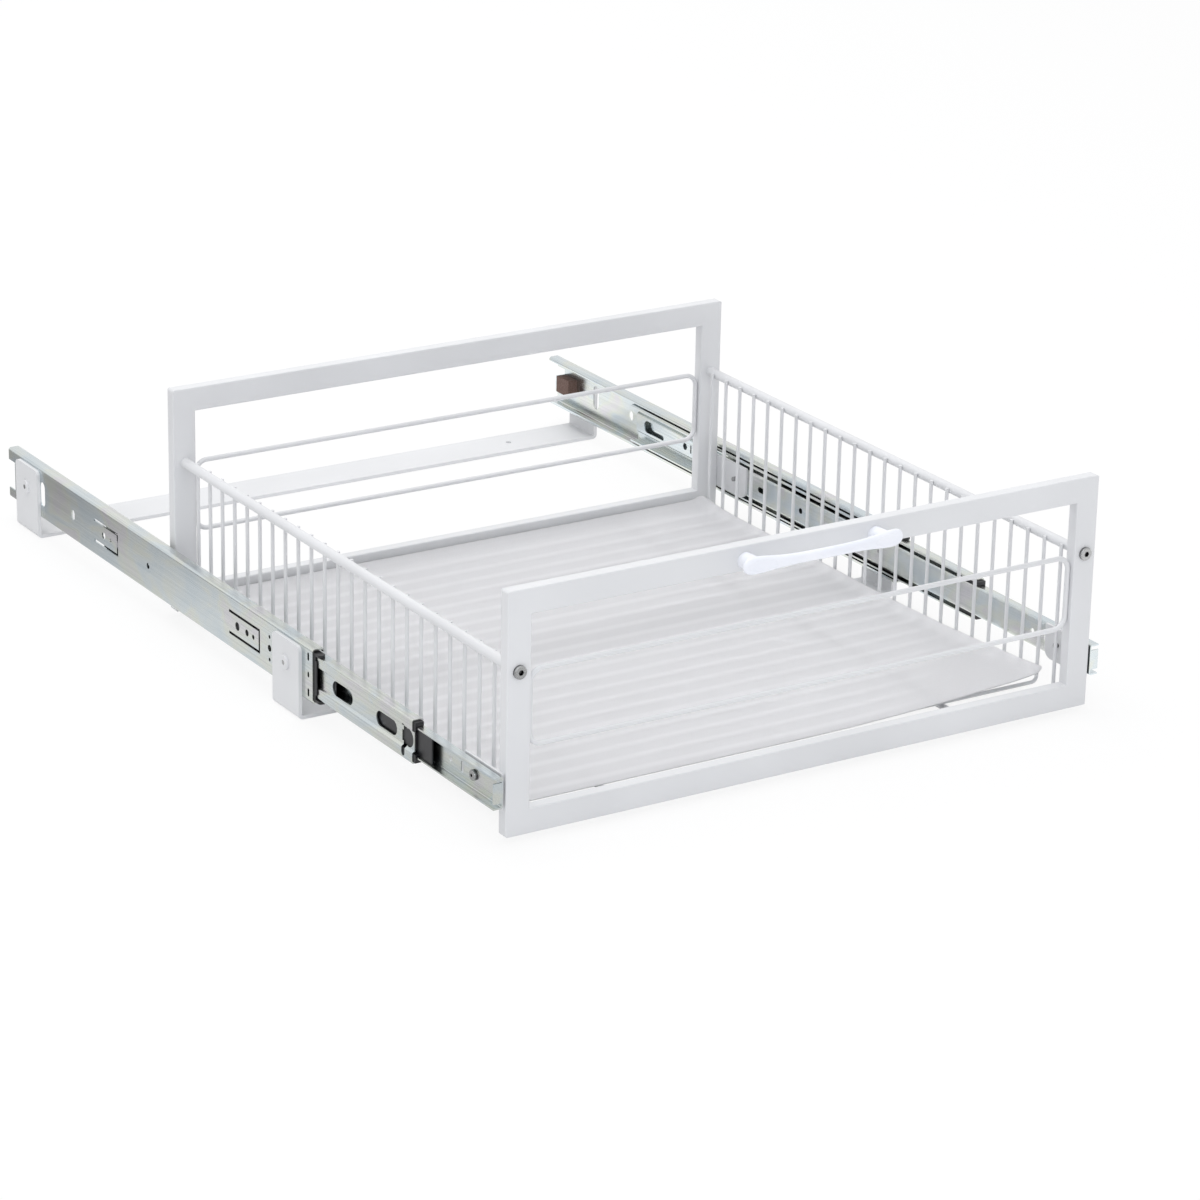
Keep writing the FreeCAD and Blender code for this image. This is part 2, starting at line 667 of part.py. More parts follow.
def outer_rail():
    """Cabinet member: a deep channel that opens towards the basket."""
    rail = folded_sheet(outer_outline(), OUTER_SHEET, OUTER_BEND, outer_front, SLIDE_LENGTH)
    u0 = outer_web_inside - CUT_MARGIN
    u1 = SLIDE_THICKNESS + CUT_MARGIN
    notch_front = outer_rear - REAR_NOTCH_DEPTH
    cuts = [block(u0, u1, notch_front, outer_rear + CUT_MARGIN, -REAR_NOTCH_BOTTOM, REAR_NOTCH_TOP)]
    cuts.append(rounded_bar(outer_rear - WINDOW_PLACE, 0, WINDOW_WIDTH, WINDOW_HEIGHT, u0, u1))
    cuts.append(rounded_bar(outer_rear - KEY_HOLE_PLACE, 0, KEY_HOLE_WIDTH, KEY_HOLE_HEIGHT, u0, u1))
    cuts.append(hole_x(outer_rear - ROUND_HOLE_PLACE, 0, ROUND_HOLE, u0, u1))
    rear_tongue = outer_rear - REAR_TONGUE_PLACE
    cuts += tongue_cuts(rear_tongue, REAR_TONGUE_LENGTH, REAR_TONGUE_HOLES, u0, u1)
    front_tongue = outer_front + FRONT_TONGUE_PLACE
    cuts += tongue_cuts(front_tongue, FRONT_TONGUE_LENGTH, FRONT_TONGUE_HOLES, u0, u1)
    crossing = outer_front + CROSS_HOLES_PLACE
    cuts.append(hole_x(crossing, 0, CROSS_HOLE, u0, u1))
    slot_y = outer_front + END_SLOT_PLACE
    cuts.append(rounded_bar(slot_y, 0, END_SLOT_WIDTH, END_HOLE_HEIGHT, u0, u1))
    for side in (-1, 1):
        cuts.append(hole_x(crossing, side * CROSS_PIN_SPACING / 2, CROSS_PIN_HOLE, u0, u1))
        slot_v = side * END_SLOT_SPACING / 2
        cuts.append(rounded_bar(slot_y, slot_v, END_SLOT_WIDTH, END_SLOT_HEIGHT, u0, u1))
    for place in strap_places.values():
        cuts.append(hole_x(place, 0, SLIDE_SCREW + 2 * FIT, u0, u1))
        cuts.append(screw_cone(place, SLIDE_SCREW_HEAD + 2 * FIT, SLIDE_SCREW + 2 * FIT))
    rail = rail.cut(cuts)
    tab = block(OUTER_LIP_DEPTH, SLIDE_THICKNESS, notch_front - OUTER_SHEET, notch_front,
                -BUMPER_HEIGHT / 2, BUMPER_HEIGHT / 2)
    return rail.fuse(tab).removeSplitter()


def tongue_cuts(front, length, holes, u0, u1):
    """Three slots round a tongue in the web that stays joined at its rear end, and its holes."""
    half = TONGUE_HEIGHT / 2
    cuts = [block(u0, u1, front, front + TONGUE_SLOT, -half, half)]
    cuts.append(block(u0, u1, front, front + length, -half, TONGUE_SLOT - half))
    cuts.append(block(u0, u1, front, front + length, half - TONGUE_SLOT, half))
    for place, diameter in holes:
        cuts.append(hole_x(front + place, 0, diameter, u0, u1))
    return cuts


def screw_cone(place, head, shank):
    """Countersink in the outer web, opening towards the basket."""
    depth = OUTER_SHEET
    return Part.makeCone(head / 2, shank / 2, depth, Vector(outer_web_inside, place, 0), Vector(1, 0, 0))


def middle_outline():
    lip_u = MIDDLE_LIP_DEPTH + MIDDLE_SHEET / 2
    flange_v = middle_half - MIDDLE_SHEET / 2
    lower = [
        (lip_u, MIDDLE_LIP - middle_half),
        (lip_u, -flange_v),
        (middle_band_u, -flange_v),
        (middle_band_u, -step_outer_v),
        (middle_web_u, -step_inner_v),
    ]
    return mirrored_section(lower)


def middle_rail():
    """Member between the other two: raised ball tracks either side of a sunk web."""
    rail = folded_sheet(middle_outline(), MIDDLE_SHEET, STEP_BEND, middle_front, member_length)
    u0 = middle_web_inside - CUT_MARGIN
    u1 = SLIDE_THICKNESS
    cuts = []
    for place in OVAL_PLACES:
        cuts.append(rounded_bar(middle_front + place, 0, OVAL_LENGTH, OVAL_HEIGHT, u0, u1))
    latch_y = middle_front + LATCH_HOLE_PLACE
    cuts.append(hole_x(latch_y, 0, LATCH_HOLE, u0, u1))
    cuts.append(block(u0, u1, latch_y, middle_front + LATCH_FLAT_PLACE, -LATCH_FLAT_BOTTOM, LATCH_FLAT_TOP))
    cuts.append(rounded_bar(middle_front + LATCH_SLOT_PLACE, (LATCH_SLOT_TOP - LATCH_SLOT_BOTTOM) / 2,
                            LATCH_SLOT_WIDTH, LATCH_SLOT_TOP + LATCH_SLOT_BOTTOM, u0, u1))
    key_y = middle_rear - KEY_SLOT_PLACE
    cuts.append(rounded_bar(key_y, 0, KEY_SLOT_LENGTH, KEY_SLOT_HEIGHT, u0, u1))
    tail_v = (KEY_TAIL_HEIGHT - KEY_SLOT_HEIGHT) / 2
    cuts.append(rounded_bar(key_y - KEY_TAIL_LENGTH / 2, tail_v, KEY_TAIL_LENGTH, KEY_TAIL_HEIGHT, u0, u1))
    cuts.append(hexagon(Vector(u0, middle_rear - HEX_HOLE_PLACE, 0), Vector(1, 0, 0), HEX_HOLE, u1 - u0))
    cuts.append(rounded_bar(middle_rear - FINE_SLOT_PLACE, 0, FINE_SLOT_WIDTH, FINE_SLOT_HEIGHT, u0, u1))
    return rail.cut(cuts)


def inner_outline():
    web_u = INNER_SHEET / 2
    flange_v = inner_half - INNER_SHEET / 2
    return mirrored_section([(inner_tip_u, -flange_v), (web_u, -flange_v)])


def inner_rail():
    """Basket member: a shallow channel that opens towards the cabinet side."""
    rail = folded_sheet(inner_outline(), INNER_SHEET, MEMBER_BEND, inner_front, member_length)
    u0 = -CUT_MARGIN
    u1 = INNER_SHEET + CUT_MARGIN
    cuts = [rounded_bar(inner_front + FIXING_SLOT_PLACE, 0, FIXING_SLOT_WIDTH, FIXING_SLOT_HEIGHT, u0, u1)]
    cuts.append(hole_x(inner_front + FIXING_HOLE_PLACE, 0, FIXING_HOLE, u0, u1))
    cuts.append(rounded_bar(inner_rear - REAR_SLOT_PLACE, 0, REAR_SLOT_LENGTH, REAR_SLOT_HEIGHT, u0, u1))
    cuts.append(hole_x(inner_rear - REAR_HOLE_PLACE, 0, FIXING_HOLE, u0, u1))
    for place in rail_screw_places():
        cuts.append(hole_x(place, 0, RAIL_SCREW + 2 * FIT, u0, u1))
    cuts.append(hole_x(inner_front + LEVER_PLACE, 0, PIN_DIAMETER + 2 * FIT, u0, u1))
    rail = rail.cut(cuts)
    tab_half = FRONT_TAB_HEIGHT / 2
    tab = block(0, inner_tip_u, inner_front, inner_front + INNER_SHEET, -tab_half, tab_half)
    return rail.fuse(tab).removeSplitter()


def ball_places(centre, length):
    count = int((length - BALL_PITCH) / BALL_PITCH) + 1
    first = centre - (count - 1) * BALL_PITCH / 2
    return [first + BALL_PITCH * number for number in range(count)]


def balls(u, v, diameter, centre, length):
    spheres = []
    for y in ball_places(centre, length):
        for side in (-v, v):
            spheres.append(Part.makeSphere(diameter / 2, Vector(u, y, side)))
    return Part.makeCompound(spheres)


def cage(outline, bend, u, v, diameter, centre, length):
    """Retainer strip with a round pocket for each ball."""
    strip = folded_sheet(outline, CAGE_SHEET, bend, centre - length / 2, length)
    pockets = []
    for y in ball_places(centre, length):
        for side in (-v, v):
            start = Vector(u, y, side - diameter / 2)
            pockets.append(rod(start, Vector(0, 0, 1), diameter, diameter + 4 * FIT))
    return strip.cut(pockets)


def outer_cage():
    arm_u = outer_ball_u - OUTER_BALL
    outline = mirrored_section([(arm_u, -outer_ball_v), (outer_cage_u, -outer_ball_v)])
    return cage(outline, STEP_BEND, outer_ball_u, outer_ball_v, OUTER_BALL,
                outer_cage_centre, outer_cage_length)


def inner_cage():
    arm_u = inner_ball_u - INNER_BALL / 2 - SLIDE_GAP
    step = step_outer_v + CAGE_STEP_SHIFT
    outline = mirrored_section([
        (arm_u, -inner_ball_v),
        (inner_cage_u, -inner_ball_v),
        (inner_cage_u, -step),
        (inner_cage_web_u, MIDDLE_STEP_RISE - step),
    ])
    return cage(outline, STEP_BEND, inner_ball_u, inner_ball_v, INNER_BALL,
                inner_cage_centre, inner_cage_length)


def outer_guide():
    """Black end piece in the front of the outer rail, which keeps the middle rail centred."""
    back = outer_web_inside
    front_u = back - SLIDE_GAP - CAGE_SHEET
    seat = outer_front + OUTER_GUIDE_SEAT
    low = middle_half + SLIDE_GAP
    high = outer_race - OUTER_BEND + OUTER_SHEET / 2 - FIT
    arm_u = back - OUTER_GUIDE_ARM_WIDTH
    guide = block(front_u, back, outer_front - 2 * OUTER_SHEET, seat, -high, high)
    face = OUTER_GUIDE_FACE / 2
    guide = guide.fuse(block(front_u, back, outer_front - OUTER_GUIDE_NOSE, seat, -face, face))
    for side in (-1, 1):
        z0, z1 = sorted((side * low, side * high))
        arm = block(arm_u, back, outer_front - OUTER_GUIDE_ARM, seat, z0, z1)
        nose = edges_along(arm, Vector(0, 0, 1), z1 - z0, lambda point: point.y < outer_front)
        guide = guide.fuse(arm.makeFillet(OUTER_GUIDE_ARM_NOSE, nose))
    return guide.removeSplitter()


def middle_guide():
    """Black end piece in the front of the middle rail, with a tongue behind its web."""
    web_u = middle_web_inside - FIT
    half = step_inner_v - STEP_BEND
    inside = inner_half - INNER_SHEET - SLIDE_GAP
    guide = block(tongue_bottom, web_u, middle_front, guide_end, -half, half)
    guide = guide.fuse(block(tongue_bottom, tongue_top, guide_end, middle_front + GUIDE_TONGUE, -half, half))
    nose_front = middle_front - GUIDE_NOSE
    guide = guide.fuse(block(tongue_bottom, tongue_top, nose_front, guide_end, -inside, inside))
    over_tip = inner_tip_u + SLIDE_GAP
    band_u = middle_band_inside - FIT
    arm_low = inner_half + SLIDE_GAP
    arm_high = middle_race - STEP_BEND + MIDDLE_SHEET / 2 - FIT
    arm_u = MIDDLE_LIP_DEPTH + MIDDLE_SHEET + SLIDE_GAP
    arm_front = middle_front - GUIDE_ARM
    slant = step_outer_v + SLIDE_GAP
    for side in (-1, 1):
        arm_z = sorted((side * arm_low, side * arm_high))
        arm = block(arm_u, band_u, arm_front, guide_end, *arm_z)
        bridge_z = sorted((side * slant, side * arm_high))
        bridge = block(over_tip, band_u, arm_front, guide_end, *bridge_z)
        riser_z = sorted((side * (slant + SLIDE_GAP), side * inside))
        riser = block(tongue_bottom, band_u, arm_front, guide_end, *riser_z)
        guide = guide.fuse([arm, bridge, riser])
    return guide.removeSplitter()


def rail_bumper():
    """Rubber stop on the tab at the back of the outer rail."""
    front = middle_rear + STOP_GAP
    rear = outer_rear - REAR_NOTCH_DEPTH - OUTER_SHEET
    u0 = OUTER_LIP_DEPTH
    half = BUMPER_HEIGHT / 2
    rubber = block(u0, outer_web_inside, front, rear, -half, half)
    rubber = rubber.makeFillet(BUMPER_EDGE, edges_along(rubber, Vector(1, 0, 0), outer_web_inside - u0))
    return rubber


def release_lever():
    """Flat lever that swings on a pin in the inner rail."""
    y = inner_front + LEVER_PLACE
    length = LEVER_FRONT + LEVER_REAR
    middle = y + (LEVER_REAR - LEVER_FRONT) / 2
    lever = rounded_bar(middle, 0, length, LEVER_HEIGHT, lever_bottom, lever_top)
    return lever.cut(hole_x(y, 0, PIN_DIAMETER + 2 * FIT, 0, SLIDE_THICKNESS))


def lever_pin():
    y = inner_front + LEVER_PLACE
    shank = hole_x(y, 0, PIN_DIAMETER, 0, lever_top + FIT)
    head = hole_x(y, 0, PIN_HEAD_DIAMETER, lever_top + FIT, lever_top + FIT + PIN_HEAD)
    return shank.fuse(head).removeSplitter()


def rail_screw(y):
    """Pan-head screw from the slide's channel into the side plate."""
    head_top = tongue_bottom - SCREW_HEAD_CLEARANCE
    head = hole_x(y, 0, RAIL_SCREW_HEAD, INNER_SHEET, head_top)
    crown = [edge for edge in head.Edges if abs(edge.CenterOfMass.x - head_top) < EDGE_MATCH]
    head = head.makeFillet((head_top - INNER_SHEET) / 2, crown)
    shank = hole_x(y, 0, RAIL_SCREW, -PLATE_THICKNESS - RAIL_SCREW_TIP, INNER_SHEET)
    socket_start = Vector(head_top - RAIL_SCREW_SOCKET_DEPTH, y, 0)
    socket = hexagon(socket_start, Vector(1, 0, 0), RAIL_SCREW_SOCKET, RAIL_SCREW_SOCKET_DEPTH)
    return shank.fuse(head).removeSplitter().cut(socket)


def slide_screw(y):
    """Countersunk screw from the outer rail's channel through the strap into its nut."""
    length = OUTER_SHEET + STRAP_THICKNESS + NUT_HEIGHT
    shank = hole_x(y, 0, SLIDE_SCREW, outer_web_inside, outer_web_inside + length)
    return shank.fuse(screw_cone(y, SLIDE_SCREW_HEAD, SLIDE_SCREW)).removeSplitter()


def weld_nut(y):
    """Round nut on the outside of a strap's leg."""
    start = SLIDE_THICKNESS + STRAP_THICKNESS
    nut = hole_x(y, 0, NUT_DIAMETER, start, start + NUT_HEIGHT)
    rim = [edge for edge in nut.Edges if abs(edge.CenterOfMass.x - start - NUT_HEIGHT) < EDGE_MATCH]
    nut = nut.makeFillet(NUT_EDGE, rim)
    bore = hole_x(y, 0, SLIDE_SCREW + 2 * FIT, start - CUT_MARGIN, start + NUT_HEIGHT + CUT_MARGIN)
    return nut.cut(bore)


# Straps and basket screws


def strap(place):
    """Flat bar across the cabinet floor with a leg up the outside of each slide."""
    leg = strap_x + STRAP_THICKNESS / 2
    low = STRAP_THICKNESS / 2
    outline = [(-leg, STRAP_LEG), (-leg, low), (leg, low), (leg, STRAP_LEG)]
    bend = STRAP_BEND
    bar = folded_sheet(outline, STRAP_THICKNESS, bend, place - STRAP_WIDTH / 2, STRAP_WIDTH)
    tops = edges_along(bar, Vector(1, 0, 0), STRAP_THICKNESS, lambda point: point.z > STRAP_LEG - FIT)
    bar = bar.makeFillet(STRAP_CORNER, tops)
    reach = strap_x + 2 * STRAP_THICKNESS
    drills = [hole_x(place, slide_height, SLIDE_SCREW + 2 * FIT, -reach, reach)]
    for x in (-FLOOR_SCREW_SPACING / 2, FLOOR_SCREW_SPACING / 2):
        start = Vector(x, place, -CUT_MARGIN)
        drills.append(rod(start, Vector(0, 0, 1), STRAP_THICKNESS + 2 * CUT_MARGIN, FLOOR_SCREW_HOLE))
    return bar.cut(drills)


def frame_screw(x, front):
    """Button-head screw through a frame post into the end of a top rail."""
    face = basket_front if front else basket_rear
    inward = Vector(0, 1, 0) if front else Vector(0, -1, 0)
    grip = FRAME_TUBE_DEPTH + FRAME_SCREW_GRIP - SCREW_END_GAP
    shank = rod(Vector(x, face, rail_z), inward, grip, FRAME_SCREW)
    head = rod(Vector(x, face, rail_z), inward * -1, FRAME_SCREW_HEAD_HEIGHT, FRAME_SCREW_HEAD)
    crown_y = face - inward.y * FRAME_SCREW_HEAD_HEIGHT
    crown = [edge for edge in head.Edges if abs(edge.CenterOfMass.y - crown_y) < EDGE_MATCH]
    head = head.makeFillet(FRAME_SCREW_CROWN, crown)
    socket = hexagon(Vector(x, crown_y, rail_z), inward, FRAME_SCREW_SOCKET, FRAME_SCREW_SOCKET_DEPTH)
    return shank.fuse(head).removeSplitter().cut(socket)


def handle_screw(x):
    """Pan-head screw from inside the basket into a foot of the handle."""
    shank_length = FRAME_TUBE_DEPTH + HANDLE_SCREW_GRIP - SCREW_END_GAP
    shank = rod(Vector(x, frame_front_inside, handle_z), Vector(0, -1, 0), shank_length, HANDLE_SCREW)
    head = rod(Vector(x, frame_front_inside, handle_z), Vector(0, 1, 0), HANDLE_SCREW_HEAD_HEIGHT,
               HANDLE_SCREW_HEAD)
    return shank.fuse(head).removeSplitter()


# Assembly


def build():
    parts = {}
    front_tubes = frame(basket_front)
    rear_tubes = frame(frame_rear_inside)
    front_drills = frame_screw_drills(basket_front) + handle_screw_drills(basket_front)
    parts["front_frame"] = drilled(front_tubes, front_drills)
    parts["rear_frame"] = drilled(rear_tubes, frame_screw_drills(frame_rear_inside))
    parts["front_loop"] = frame_loop(basket_front)
    parts["rear_loop"] = frame_loop(frame_rear_inside)
    parts["u_wires"] = Part.makeCompound([u_wire(y) for y in wire_places()])
    parts["liner_mat"] = liner_mat()
    parts["handle"] = handle()
    for place, y in strap_places.items():
        parts["strap_" + place] = strap(y)

    floor_bar_x = side_x - FLOOR_BAR_INSET
    one_sided = {
        "top_rail": top_rail(post_x),
        "floor_bar": floor_bar(floor_bar_x),
        "side_plate_front": side_plate(True),
        "side_plate_rear": side_plate(False),
        "frame_screw_front": frame_screw(post_x, True),
        "frame_screw_rear": frame_screw(post_x, False),
        "outer_rail": on_slide(outer_rail()),
        "outer_guide": on_slide(outer_guide()),
        "inner_rail": on_slide(inner_rail()),
        "release_lever": on_slide(release_lever()),
        "lever_pin": on_slide(lever_pin()),
        "rail_bumper": on_slide(rail_bumper()),
    }
    for place, y in zip(("front", "rear"), rail_screw_places()):
        one_sided["rail_screw_" + place] = on_slide(rail_screw(y))
    for place, y in strap_places.items():
        one_sided["slide_screw_" + place] = on_slide(slide_screw(y))
        one_sided["weld_nut_" + place] = on_slide(weld_nut(y))
    for name, shape in one_sided.items():
        parts[name + "_right"] = shape
        parts[name + "_left"] = other_side(shape)
    sliding = {
        "middle_rail": on_slide(middle_rail()),
        "middle_guide": on_slide(middle_guide()),
        "outer_cage": on_slide(outer_cage()),
        "outer_balls": on_slide(balls(outer_ball_u, outer_ball_v, OUTER_BALL,
                                      outer_cage_centre, outer_cage_length)),
        "inner_cage": on_slide(inner_cage()),
        "inner_balls": on_slide(balls(inner_ball_u, inner_ball_v, INNER_BALL,
                                      inner_cage_centre, inner_cage_length)),
    }
    for side, middle_share in MIDDLE_SHARES.items():
        for name, shape in sliding.items():
            share = {"middle": middle_share, "outer": middle_share / 2, "inner": (1 + middle_share) / 2}
            placed = pulled(shape, share[name.split("_")[0]])
            parts[name + "_" + side] = other_side(placed) if side == "left" else placed
    for side, x in zip(("left", "right"), handle_feet()):
        parts["handle_screw_" + side] = handle_screw(x)
    return parts


os.makedirs("parts", exist_ok=True)
for node, solid in build().items():
    solid.exportStep(os.path.join("parts", node + ".step"))
    print(node, len(solid.Solids), round(solid.Volume, 1), solid.isValid())
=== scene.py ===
import bpy
import json
import math
from mathutils import Matrix, Vector


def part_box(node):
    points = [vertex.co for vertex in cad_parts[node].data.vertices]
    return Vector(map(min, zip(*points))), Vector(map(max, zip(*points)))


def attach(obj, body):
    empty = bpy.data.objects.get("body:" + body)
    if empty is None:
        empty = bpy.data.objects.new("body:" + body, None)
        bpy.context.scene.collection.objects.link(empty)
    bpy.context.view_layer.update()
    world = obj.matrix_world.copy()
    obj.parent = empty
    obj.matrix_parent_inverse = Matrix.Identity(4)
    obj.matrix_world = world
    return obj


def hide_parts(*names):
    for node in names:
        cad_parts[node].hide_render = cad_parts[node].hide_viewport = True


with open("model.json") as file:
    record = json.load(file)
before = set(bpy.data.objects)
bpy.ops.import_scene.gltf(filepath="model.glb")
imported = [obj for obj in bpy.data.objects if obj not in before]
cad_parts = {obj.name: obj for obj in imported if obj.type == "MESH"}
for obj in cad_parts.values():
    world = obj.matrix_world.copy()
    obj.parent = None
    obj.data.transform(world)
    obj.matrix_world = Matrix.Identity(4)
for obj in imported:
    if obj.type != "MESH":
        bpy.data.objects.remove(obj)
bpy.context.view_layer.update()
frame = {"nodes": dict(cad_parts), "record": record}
nodes = frame["nodes"]
print("frame loaded:", len(nodes), "nodes")


# colours and shader nodes; the Mix node's sockets are numbered, because several share a name
mixShare = 0
mixFloatA = 2
mixFloatB = 3
mixColourA = 6
mixColourB = 7
mixedColour = 2


def linearColour(hexCode):
    channels = [int(hexCode[start:start + 2], 16) / 255 for start in (1, 3, 5)]
    return [c / 12.92 if c <= 0.04045 else ((c + 0.055) / 1.055) ** 2.4 for c in channels] + [1.0]


def fillRamp(ramp, stops):
    # a new ramp has two elements, which become the first and the last stop
    for element, (position, hexCode) in zip(ramp.elements, (stops[0], stops[-1])):
        element.position = position
        element.color = linearColour(hexCode)
    for position, hexCode in stops[1:-1]:
        ramp.elements.new(position).color = linearColour(hexCode)


def addNode(material, kind, settings, links):
    node = material.node_tree.nodes.new(kind)
    for name, value in settings.items():
        if name == "stops":
            fillRamp(node.color_ramp, value)
        elif isinstance(name, str) and hasattr(node, name):
            setattr(node, name, value)
        else:
            node.inputs[name].default_value = value
    for name, source in links.items():
        material.node_tree.links.new(source, node.inputs[name])
    return node


def newMaterial(name):
    material = bpy.data.materials.new(name)
    material.use_nodes = True
    material.node_tree.nodes.clear()
    return material


def finishMaterial(material, shader):
    addNode(material, "ShaderNodeOutputMaterial", {}, {"Surface": shader.outputs[0]})
    return material


def patternSpace(material, cellMm):
    # object coordinates stretched so that one cell of a pattern is cellMm along X, Y and Z
    spot = addNode(material, "ShaderNodeTexCoord", {}, {})
    stretched = addNode(material, "ShaderNodeMapping", {"Scale": [1000 / size for size in cellMm]},
                        {"Vector": spot.outputs["Object"]})
    return stretched.outputs[0]


def paintedRecessShade(material, colour, look):
    # painted shade: the colour darkens towards the recess colour where ambient occlusion finds a narrow
    # recess shut in
    depth = addNode(material, "ShaderNodeAmbientOcclusion",
                    {"Distance": look["recessMm"] / 1000, "samples": look["recessSamples"]}, {})
    share = addNode(material, "ShaderNodeMapRange",
                    {"From Min": look["shutBelow"], "From Max": look["openAbove"]},
                    {"Value": depth.outputs["AO"]})
    mixed = addNode(material, "ShaderNodeMix",
                    {"data_type": "RGBA", mixColourA: linearColour(look["recess"])},
                    {mixShare: share.outputs[0], mixColourB: colour})
    return mixed.outputs[mixedColour]


def seenBy(material, *kinds):
    # 1 for a ray of one of the kinds, else 0
    rays = addNode(material, "ShaderNodeLightPath", {}, {})
    seen = rays.outputs[kinds[0]]
    for kind in kinds[1:]:
        either = addNode(material, "ShaderNodeMath", {"operation": "MAXIMUM"},
                         {0: seen, 1: rays.outputs[kind]})
        seen = either.outputs[0]
    return seen


# powder-coated steel: a thick satin skin with a fine orange peel, in a slightly cool white
powderCoatLook = {"tint": [(0.35, "#D8D9DB"), (0.65, "#DEDFE1")], "roughness": 0.42,
                  "cloudMm": (111, 111, 111), "peelMm": (1.6, 1.6, 1.6),
                  "peelDepth": 0.00003, "peelStrength": 0.25}


def powderCoat():
    material = newMaterial("powderCoatedSteel")
    look = powderCoatLook
    cloud = addNode(material, "ShaderNodeTexNoise", {"Scale": 1.0, "Detail": 2.0},
                    {"Vector": patternSpace(material, look["cloudMm"])})
    tint = addNode(material, "ShaderNodeValToRGB", {"stops": look["tint"]}, {"Fac": cloud.outputs["Fac"]})
    peel = addNode(material, "ShaderNodeTexNoise", {"Scale": 1.0, "Detail": 1.0},
                   {"Vector": patternSpace(material, look["peelMm"])})
    bump = addNode(material, "ShaderNodeBump",
                   {"Strength": look["peelStrength"], "Distance": look["peelDepth"]},
                   {"Height": peel.outputs["Fac"]})
    shader = addNode(material, "ShaderNodeBsdfPrincipled", {"Roughness": look["roughness"]},
                     {"Base Color": tint.outputs[0], "Normal": bump.outputs[0]})
    return finishMaterial(material, shader)


# bright zinc plate on cold-rolled strip: fine rolling lines along the slide under faint clouds of yellow,
# pink and blue passivation, and painted shade that darkens it in narrow gaps and recesses
zincLook = {"steel": [(0.3, "#BCC4C6"), (0.6, "#D2D8D9")], "lineMm": (0.7, 111, 0.7),
            "film": [(0.34, "#BDCCD9"), (0.46, "#D2D8D9"), (0.55, "#DFDCC2"), (0.66, "#DCCAD2")],
            "filmShare": 0.3, "patchMm": (30, 50, 25), "patchTwist": 0.6,
            "smoothest": 0.23, "roughest": 0.27, "roughFrom": 0.3, "roughTo": 0.7,
            "recess": "#3A4042", "recessMm": 5.0, "recessSamples": 8, "shutBelow": 0.28, "openAbove": 0.6}


def zincPlate():
    material = newMaterial("zincPlatedStrip")
    look = zincLook
    lines = addNode(material, "ShaderNodeTexNoise", {"Scale": 1.0, "Detail": 2.0},
                    {"Vector": patternSpace(material, look["lineMm"])})
    patches = addNode(material, "ShaderNodeTexNoise",
                      {"Scale": 1.0, "Detail": 3.0, "Distortion": look["patchTwist"]},
                      {"Vector": patternSpace(material, look["patchMm"])})
    steel = addNode(material, "ShaderNodeValToRGB", {"stops": look["steel"]}, {"Fac": lines.outputs["Fac"]})
    film = addNode(material, "ShaderNodeValToRGB", {"stops": look["film"]}, {"Fac": patches.outputs["Fac"]})
    plate = addNode(material, "ShaderNodeMix", {"data_type": "RGBA", mixShare: look["filmShare"]},
                    {mixColourA: steel.outputs[0], mixColourB: film.outputs[0]})
    rough = addNode(material, "ShaderNodeMapRange",
                    {"From Min": look["roughFrom"], "From Max": look["roughTo"],
                     "To Min": look["smoothest"], "To Max": look["roughest"]},
                    {"Value": lines.outputs["Fac"]})
    shader = addNode(material, "ShaderNodeBsdfPrincipled", {"Metallic": 1.0},
                     {"Base Color": paintedRecessShade(material, plate.outputs[mixedColour], look),
                      "Roughness": rough.outputs[0]})
    return finishMaterial(material, shader)


# stainless steel screws: a fine even grain, and painted shade that darkens the sockets and under the heads
stainlessLook = {"tint": [(0.3, "#8F9090"), (0.7, "#BCBDBD")], "roughness": 0.24,
                 "grainMm": (0.5, 0.5, 0.5), "recess": "#141415", "recessMm": 3.0, "recessSamples": 8,
                 "shutBelow": 0.5, "openAbove": 0.85}


def stainlessSteel():
    material = newMaterial("turnedStainless")
    look = stainlessLook
    grain = addNode(material, "ShaderNodeTexNoise", {"Scale": 1.0, "Detail": 2.0},
                    {"Vector": patternSpace(material, look["grainMm"])})
    tint = addNode(material, "ShaderNodeValToRGB", {"stops": look["tint"]}, {"Fac": grain.outputs["Fac"]})
    shader = addNode(material, "ShaderNodeBsdfPrincipled", {"Metallic": 1.0, "Roughness": look["roughness"]},
                     {"Base Color": paintedRecessShade(material, tint.outputs[0], look)})
    return finishMaterial(material, shader)


# polished bearing steel: clear reflections with faint wear marks
ballLook = {"tint": [(0.3, "#9C9D9F"), (0.6, "#D0D1D2")], "roughness": 0.12, "wearMm": (2.0, 2.0, 2.0)}


def bearingSteel():
    material = newMaterial("bearingSteel")
    look = ballLook
    marks = addNode(material, "ShaderNodeTexNoise", {"Scale": 1.0},
                    {"Vector": patternSpace(material, look["wearMm"])})
    tint = addNode(material, "ShaderNodeValToRGB", {"stops": look["tint"]}, {"Fac": marks.outputs["Fac"]})
    shader = addNode(material, "ShaderNodeBsdfPrincipled", {"Metallic": 1.0, "Roughness": look["roughness"]},
                     {"Base Color": tint.outputs[0]})
    return finishMaterial(material, shader)


# moulded black acetal: an even satin with a faint grain
acetalLook = {"tint": [(0.35, "#18181A"), (0.65, "#232327")], "roughness": 0.34, "grainMm": (0.9, 0.9, 0.9),
              "grainDepth": 0.00003, "grainStrength": 0.2}


